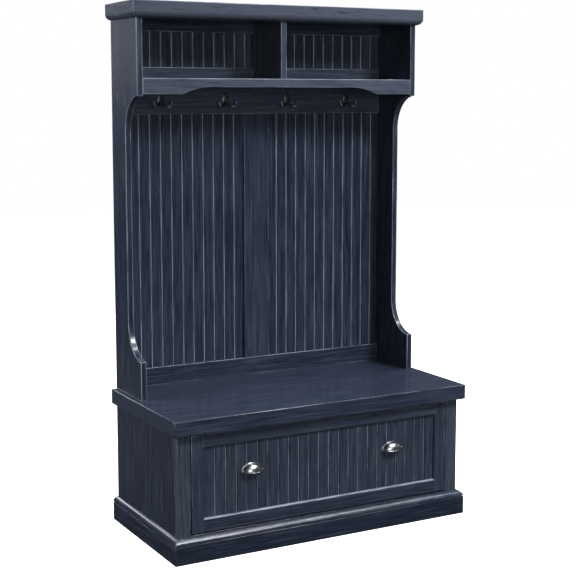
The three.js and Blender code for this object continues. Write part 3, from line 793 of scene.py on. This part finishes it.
def bead_outline(pitch, rub_and_painted_light):
    """One pitch of the board's face, as places across and back with the rubbing at each: flat,
    quirk with painted shade on its floor, rounded bead worn pale with a painted highlight along
    its crest, quirk, flat."""
    edge = BEAD_HALF + QUIRK_WIDTH
    side = [
        (pitch / 2, 0, 0),
        (edge + RUB_FADE, 0, 0),
        (edge, 0, QUIRK_LIP_RUB),
        (edge - QUIRK_SLOPE, QUIRK_DEPTH, QUIRK_FLOOR_SHADE),
    ]
    bead = []
    for step in range(BEAD_STEPS + 1):
        turn = math.pi * step / BEAD_STEPS
        rise = math.sin(turn)
        across = -BEAD_HALF * math.cos(turn)
        bead.append((across, QUIRK_DEPTH * (1 - rise), rub_and_painted_light * rise ** 2))
    return [(-x, y, rubbed_and_painted_light) for x, y, rubbed_and_painted_light in side] + bead + side[::-1]


def build_beadboard(rule, node, paint):
    """A panel whose grooves are each milled as a rounded bead between two quirks."""
    low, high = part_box(node)
    places = groove_places(node)
    pitch = (places[-1] - places[0]) / (len(places) - 1)

    start = bmesh.new()
    wear_and_painted_light = start.verts.layers.float.new("wear_and_painted_light")
    outline = bead_outline(pitch, BEAD_RUB_AND_HIGHLIGHT_OF.get(node, BEAD_RUB_AND_HIGHLIGHT))
    draw_line(start, wear_and_painted_light, [((x, y, 0), rubbed_and_painted_light) for x, y, rubbed_and_painted_light in outline])
    bm = rule.grow(
        start,
        Bead_Count=len(places),
        Pitch=pitch,
        First_Bead=places[0],
        Left_Edge=low.x,
        Right_Edge=high.x,
        Height=high.z - low.z,
        Thickness=high.y - low.y,
        Material=paint["Z"],
    )
    wear_and_painted_light = bm.verts.layers.float["wear_and_painted_light"]
    for vert in bm.verts:
        if vert.co.y > BELOW_BEADS:
            vert[wear_and_painted_light] = 0.0
    bmesh.ops.translate(bm, verts=bm.verts, vec=(0, low.y, low.z))
    tone = TONE_AND_PAINTED_LIGHT.get(node, 0.0)
    make_piece(bm, node + "_beadboard", BODY_OF[node], paint["Z"], [node], tone)


# ---------------------------------------------------------------- shapes for hardware

def ring(radius, height, sides):
    """Places evenly round Z."""
    turns = [2 * math.pi * i / sides for i in range(sides)]
    return [Vector((radius * math.cos(t), radius * math.sin(t), height)) for t in turns]


def join_loops(bm, lower, upper):
    """Faces from one loop of corners to the next."""
    for i in range(len(lower)):
        j = (i + 1) % len(lower)
        bm.faces.new((lower[i], lower[j], upper[j], upper[i]))


def skin(bm, rings):
    """Skins a row of equal outlines, closes the first, and gives the last one's corners."""
    verts = [[bm.verts.new(p) for p in outline] for outline in rings]
    for lower, upper in zip(verts, verts[1:]):
        join_loops(bm, lower, upper)
    bm.faces.new(verts[0][::-1])
    return verts[-1]


def stack(bm, rings):
    """Skins a row of equal outlines and closes both ends."""
    bm.faces.new(skin(bm, rings))


def turned(bm, outline, sides, place):
    """A shape turned about Z from (radius, height) pairs in mm, closed at both ends."""
    stack(bm, [[place @ p for p in ring(r * MM, h * MM, sides)] for r, h in outline])


def loop_edges(bm, loop):
    """The edges round a closed loop of corners."""
    return [bm.edges.get(pair) for pair in zip(loop, loop[1:] + loop[:1])]


def hidden_shape(name, bm):
    """A shape that the rules repeat, kept out of the scene itself."""
    bmesh.ops.recalc_face_normals(bm, faces=bm.faces)
    mesh = bpy.data.meshes.new(name)
    bm.to_mesh(mesh)
    bm.free()
    return bpy.data.objects.new(name, mesh)


SCREW_SIDES = 16
SCREW_DOME = [(1.0, 0.0), (1.0, 0.35), (0.9, 0.75), (0.68, 1.0)]  # shares of radius and height
RECESS_ARM = 0.52  # the cross recess, as shares of the head
RECESS_HALF_WIDTH = 0.12
RECESS_TAPER = 0.8
RECESS_FLOOR = 0.45


def screw_head(name, radius, height):
    """A domed head with a cross recess, standing on its underside."""
    bm = bmesh.new()
    crown = skin(bm, [ring(radius * r, height * h, SCREW_SIDES) for r, h in SCREW_DOME])

    arm = RECESS_ARM * radius
    half = RECESS_HALF_WIDTH * radius
    cross = []
    for quarter in range(4):
        spin = Matrix.Rotation(quarter * math.pi / 2, 2)
        cross += [spin @ Vector(p) for p in ((arm, -half), (arm, half), (half, half))]
    mouth = [bm.verts.new((p.x, p.y, height)) for p in cross]
    deep = [(p.x * RECESS_TAPER, p.y * RECESS_TAPER, height * RECESS_FLOOR) for p in cross]
    floor = [bm.verts.new(p) for p in deep]
    join_loops(bm, mouth, floor)
    bm.faces.new(floor)
    rim = loop_edges(bm, crown) + loop_edges(bm, mouth)
    bmesh.ops.triangle_fill(bm, edges=rim, use_beauty=True)
    return hidden_shape(name, bm)


def ball(name, radius):
    """A bearing ball for the rules to repeat."""
    bm = bmesh.new()
    bmesh.ops.create_uvsphere(bm, u_segments=10, v_segments=7, radius=radius)
    return hidden_shape(name, bm)


def starts(points):
    """Starting points for rows, each with the way its shape faces."""
    bm = bmesh.new()
    facing = bm.verts.layers.float_vector.new("facing")
    for place, direction in points:
        bm.verts.new(place)[facing] = direction
    return bm


def facing_out(x, z):
    """Stands a turned shape at a place on a board, pointing out to the front."""
    return Matrix.Translation((x, 0, z)) @ Matrix.Rotation(math.radians(90), 4, "X")


def bezier(a, b, c, d, t):
    s = 1 - t
    return a * s ** 3 + b * 3 * s * s * t + c * 3 * s * t * t + d * t ** 3


# ---------------------------------------------------------------- coat hooks

HOOKS = ["coat_hook_%d" % number for number in range(1, 5)]

# All in mm from the middle of the plate's back: across, back towards the wall, up. The right
# arm is one curve, given by its two ends and the two places that it leans towards.
HOOK_ARM = [Vector((1.5, -4.5, -10.5)), Vector((9, -20, -23.5)), Vector((32.6, -29, -36.5))]
HOOK_TIP = Vector((32.6, -21, -10.5))
HOOK_ARM_RADIUS = 3.1
HOOK_ARM_TAPER = 1.2
HOOK_ARM_STEPS = 22
HOOK_ARM_SIDES = 12
HOOK_BALL_RADIUS = 3.7
HOOK_BALL_STEPS = 7
NECK_TURN = math.radians(35)  # where the arm runs into its ball
BALL_END_TURN = math.radians(172)  # and where the ball closes
NECK_GAP = 0.01  # share of the arm left clear before the ball
HOOK_PLATE_HALF_WIDTH = 12.2
HOOK_PLATE_HALF_HEIGHT = 21
HOOK_PLATE_SIDES = 32
HOOK_PLATE_DOME = [  # share of the outline, distance out
    (1.0, 0.0),
    (1.0, 1.5),
    (0.96, 2.3),
    (0.86, 2.5),
    (0.83, 3.1),
    (0.72, 3.7),
    (0.35, 4.1),
]
HOOK_BOSS_DROP = 10.5
HOOK_BOSS_SIDES = 20
HOOK_BOSS = [(7.4, 1.5), (7.0, 4.2), (5.6, 5.2), (5.2, 7.4), (4.2, 8.6), (2.0, 9.2)]
HOOK_REACH = 36  # to the side of the tips


def hook_arm_path():
    """Points and radii along both arms: tapering bar, slim neck, ball."""
    arms = []
    for side in SIDES.values():
        a, b, c, d = (Vector((side * p.x, p.y, p.z)) for p in [*HOOK_ARM, HOOK_TIP])
        onward = (d - c).normalized()
        into_ball = HOOK_BALL_RADIUS * math.cos(NECK_TURN) / (3 * (d - c).length)
        neck = 1 - into_ball - NECK_GAP
        arm = []
        for step in range(HOOK_ARM_STEPS + 1):
            t = step / HOOK_ARM_STEPS
            arm.append((bezier(a, b, c, d, t * neck), HOOK_ARM_RADIUS - HOOK_ARM_TAPER * t))
        for step in range(HOOK_BALL_STEPS + 1):
            turn = NECK_TURN + step * (BALL_END_TURN - NECK_TURN) / HOOK_BALL_STEPS
            along = -HOOK_BALL_RADIUS * math.cos(turn)
            arm.append((d + onward * along, HOOK_BALL_RADIUS * math.sin(turn)))
        arms.append(arm)
    return arms


def hook_plate():
    """The oval plate's outlines, from the board out to the top of its dome."""
    rings = []
    for share, out in HOOK_PLATE_DOME:
        outline = []
        for i in range(HOOK_PLATE_SIDES):
            turn = 2 * math.pi * i / HOOK_PLATE_SIDES
            x = HOOK_PLATE_HALF_WIDTH * share * math.cos(turn)
            z = HOOK_PLATE_HALF_HEIGHT * share * math.sin(turn)
            outline.append(Vector((x, -out, z)) * MM)
        rings.append(outline)
    return rings


def build_hook(sweep, node, metal):
    """A double hook: domed oval plate, a turned boss, and two arms with ball ends."""
    low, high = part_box(node)
    foot = Vector(((low.x + high.x) / 2, high.y, high.z - HOOK_PLATE_HALF_HEIGHT * MM))

    path = bmesh.new()
    radius = path.verts.layers.float.new("radius")
    for arm in hook_arm_path():
        draw_line(path, radius, [(place * MM, size * MM) for place, size in arm])
    bm = sweep.grow(path, Sides=HOOK_ARM_SIDES, Material=metal)
    stack(bm, hook_plate())
    turned(bm, HOOK_BOSS, HOOK_BOSS_SIDES, facing_out(0, -HOOK_BOSS_DROP * MM))
    bmesh.ops.recalc_face_normals(bm, faces=bm.faces)

    wear_and_painted_light = bm.verts.layers.float.new("wear_and_painted_light")
    for vert in bm.verts:
        reach = abs(vert.co.x) / (HOOK_REACH * MM)
        vert[wear_and_painted_light] = min(1.0, max(0.0, 1.8 * reach - 0.5))  # handled towards the tips
    bmesh.ops.translate(bm, verts=bm.verts, vec=foot)
    make_piece(bm, node + "_casting", BODY_OF[node], metal, [node])


# ---------------------------------------------------------------- cup pulls

PULL_ARC_STEPS = 28
PULL_CUP_START = math.radians(8)
PULL_CUP_TURN = math.radians(164)
PULL_WALL_STEPS = 9
PULL_WALL = 1.7 * MM
PULL_RIM = 2.8 * MM
PULL_RIM_SECTION = [  # share of the outline, distance out in mm
    (0.9, 0.0),
    (1.0, 0.0),
    (1.0, 1.1),
    (0.975, 1.7),
    (0.93, 1.9),
    (0.9, 1.9),
]
LIP_ROLL = 0.55 * MM
PULL_LUG = [(4.6, 0), (4.6, 6.6), (4.2, 8.0), (3.2, 8.8), (1.4, 9.2)]
PULL_LUG_SIDES = 16
PULL_LUG_INSET = 5 * MM
PULL_LUG_HEIGHT = 4.8 * MM


def cup_section(x, size):
    """The cup's wall where a plane across it cuts it: out and down, round the lip, back up."""
    half, out, up = size
    share = max(0.0, 1 - (x / half) ** 2) ** 0.5
    outer = []
    inner = []
    for step in range(PULL_WALL_STEPS + 1):
        turn = math.pi / 2 * step / PULL_WALL_STEPS
        outer.append((out * share * math.sin(turn) ** 0.85, up * share * math.cos(turn) ** 0.9))
        keep = max(0.5, 1 - PULL_WALL / max(out * share, 1e-9))
        inner.append((outer[-1][0] * keep, outer[-1][1] * keep))
    edge = outer[-1][0]
    rolled = edge + LIP_ROLL
    outer[-1] = (edge, 1.4 * MM)
    lip = [(rolled, 1.0 * MM), (rolled, 0.3 * MM), (edge, 0.0)]
    return [Vector((x, -y, z)) for y, z in outer + lip + inner[::-1]]


def build_pull(node, metal):
    """A cast cup pull: thin rim against the panel, domed cup with a rolled lip, two lugs."""
    low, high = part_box(node)
    half = (high.x - low.x) / 2
    tall = high.z - low.z
    foot = Vector(((low.x + high.x) / 2, high.y, low.z))
    room_for_lip = 0.6 * MM
    size = (half - PULL_RIM, high.y - low.y - room_for_lip, tall - PULL_RIM)

    bm = bmesh.new()
    sections = []
    for step in range(PULL_ARC_STEPS + 1):
        turn = PULL_CUP_START + PULL_CUP_TURN * step / PULL_ARC_STEPS
        sections.append(cup_section(-size[0] * math.cos(turn), size))
    stack(bm, sections)

    band = []
    for step in range(PULL_ARC_STEPS + 1):
        turn = math.pi * step / PULL_ARC_STEPS
        across = -math.cos(turn)
        rise = math.sin(turn)
        section = []
        for share, out in PULL_RIM_SECTION:
            section.append(Vector((half * across * share, -out * MM, tall * rise * share)))
        band.append(section)
    stack(bm, band)

    for side in SIDES.values():
        place = facing_out(side * (half - PULL_LUG_INSET), PULL_LUG_HEIGHT)
        turned(bm, PULL_LUG, PULL_LUG_SIDES, place)
    bmesh.ops.recalc_face_normals(bm, faces=bm.faces)
    bmesh.ops.translate(bm, verts=bm.verts, vec=foot)
    make_piece(bm, node + "_casting", BODY_OF[node], metal, [node])


# ---------------------------------------------------------------- screws

SPUN = {"Spin": 2 * math.pi, "Seed": 7}  # the recesses point every way
SLIDE_SCREW_INSET = 30 * MM
SLIDE_SCREW_SPACING = (0, 125 * MM, 0)
SLIDE_STEEL = 1.2 * MM  # thickness of a member's web
HOOK_SCREW_INSET = 18.5 * MM  # lower screw, from the top of the plate
HOOK_SCREW_SPACING = (0, 0, 11.5 * MM)
HOOK_SCREW_OUT = 3.6 * MM
PULL_SCREWS = ["pull_screw_%d" % number for number in range(1, 5)]
PULL_SCREW_HEAD = 2.4 * MM
PULL_SCREW_SIDES = 12
NO_SPACING = (0, 0, 0)


def build_slide_screws(rows, steel):
    """Rows of screws through the outer members into the case and the inner into the drawer."""
    on_case = []
    on_drawer = []
    for name, side in SIDES.items():
        outer_low, outer_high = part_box("slide_outer_" + name)
        inner_low, inner_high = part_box("slide_inner_" + name)
        height = (outer_low.z + outer_high.z) / 2
        case_x = (outer_high.x if side > 0 else outer_low.x) - side * SLIDE_STEEL
        drawer_x = (inner_low.x if side > 0 else inner_high.x) + side * SLIDE_STEEL
        on_case.append(((case_x, outer_low.y + SLIDE_SCREW_INSET, height), (-side, 0, 0)))
        on_drawer.append(((drawer_x, inner_low.y + SLIDE_SCREW_INSET, height), (side, 0, 0)))

    values = {"Count": 4, "Spacing": SLIDE_SCREW_SPACING, "Material": steel, **SPUN}
    shape = screw_head("case_screw", 3.4 * MM, 0.9 * MM)
    bm = rows.grow(starts(on_case), Shape=shape, **values)
    make_piece(bm, "case_slide_screws", "case", steel)
    shape = screw_head("drawer_screw", 3.6 * MM, 1.8 * MM)
    bm = rows.grow(starts(on_drawer), Shape=shape, **values)
    make_piece(bm, "drawer_slide_screws", "drawer", steel)


def build_hook_screws(rows, bronze):
    """Two screws in each hook's plate, one above the other."""
    heads = []
    for node in HOOKS:
        low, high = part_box(node)
        place = ((low.x + high.x) / 2, high.y - HOOK_SCREW_OUT, high.z - HOOK_SCREW_INSET)
        heads.append((place, (0, -1, 0)))
    values = {"Count": 2, "Spacing": HOOK_SCREW_SPACING, "Material": bronze, **SPUN}
    shape = screw_head("hook_screw", 3.3 * MM, 1.9 * MM)
    bm = rows.grow(starts(heads), Shape=shape, **values)
    make_piece(bm, "hook_screws", "case", bronze)


def build_pull_screws(rows, steel):
    """The machine screws that come through the drawer's front into the pulls' lugs."""
    into_head = 0.1 * MM
    shafts = []
    heads = []
    for node in PULL_SCREWS:
        low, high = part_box(node)
        middle = (low + high) / 2
        length = high.y - low.y - PULL_SCREW_HEAD + into_head
        shafts.append(((middle.x, low.y, middle.z), length))
        heads.append(((middle.x, high.y - PULL_SCREW_HEAD, middle.z), (0, 1, 0)))
    values = {"Count": 1, "Spacing": NO_SPACING, "Material": steel, **SPUN}
    shape = screw_head("pull_screw", 4.0 * MM, PULL_SCREW_HEAD)
    bm = rows.grow(starts(heads), Shape=shape, **values)
    for tip, length in shafts:
        back = Matrix.Translation(tip) @ Matrix.Rotation(math.radians(-90), 4, "X")
        turned(bm, [(1.4, 0), (2, 1), (2, length / MM)], PULL_SCREW_SIDES, back)
    bmesh.ops.recalc_face_normals(bm, faces=bm.faces)
    make_piece(bm, "pull_machine_screws", "drawer", steel, PULL_SCREWS)


# ---------------------------------------------------------------- bearings

BALLS = 12
BALL_SPACING = 12 * MM
RETAINER_PAST_BALL = 8 * MM
RETAINER_SECTION = ((-2.4, -0.3), (2.4, -0.3), (2.4, 0.3), (-2.4, 0.3))  # mm
RACES = {  # ball radius, depth from the member's web, height off its middle, first ball
    "outer": (1.35 * MM, 5.0 * MM, 19.9 * MM, 60 * MM),
    "inner": (1.8 * MM, 7.0 * MM, 15.4 * MM, -190 * MM),
}


def retainer(x, y, z):
    """The ends of the strip that holds a row of balls."""
    ends = (y - RETAINER_PAST_BALL, y + (BALLS - 1) * BALL_SPACING + RETAINER_PAST_BALL)
    return [[Vector((x + a * MM, end, z + b * MM)) for a, b in RETAINER_SECTION] for end in ends]


def build_bearings(rows, steel):
    """Balls in their retainers, in the four raceways of each slide."""
    values = {"Count": BALLS, "Spacing": (0, BALL_SPACING, 0), "Material": steel}
    shapes = {kind: ball(kind + "_race_ball", race[0]) for kind, race in RACES.items()}
    for name, side in SIDES.items():
        low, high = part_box("slide_middle_" + name)
        web_x = high.x if side > 0 else low.x
        middle_z = (low.z + high.z) / 2
        for kind, (_, depth, lift, first_y) in RACES.items():
            x = web_x - side * depth
            points = [((x, first_y, middle_z + up * lift), (0, 0, up)) for up in (-1, 1)]
            bm = rows.grow(starts(points), Shape=shapes[kind], Spin=0.0, Seed=1, **values)
            for place, _ in points:
                stack(bm, retainer(*place))
            bmesh.ops.recalc_face_normals(bm, faces=bm.faces)
            piece = "%s_%s_race_bearings" % (name, kind)
            make_piece(bm, piece, name + "_slide_member", steel)


# ---------------------------------------------------------------- the whole object

set_camera()
set_studio()
lay_floor()

paint = {along: navy_paint(along) for along in "XYZ"}
ply = {along: birch_ply(along) for along in "XYZ"}
steel = zinc_steel()
nickel = brushed_nickel()
bronze = dark_bronze()

build_painted_boards(paint)
beadboard = beadboard_rule()
for panel in PANELS:
    build_beadboard(beadboard, panel, paint)

build_ply_boards(ply)
build_slide_members(steel)

sweep = sweep_rule()
for hook in HOOKS:
    build_hook(sweep, hook, bronze)
for side_name in SIDES:
    build_pull("cup_pull_" + side_name, nickel)

rows = rows_rule()
build_slide_screws(rows, steel)
build_hook_screws(rows, bronze)
build_pull_screws(rows, steel)
build_bearings(rows, steel)
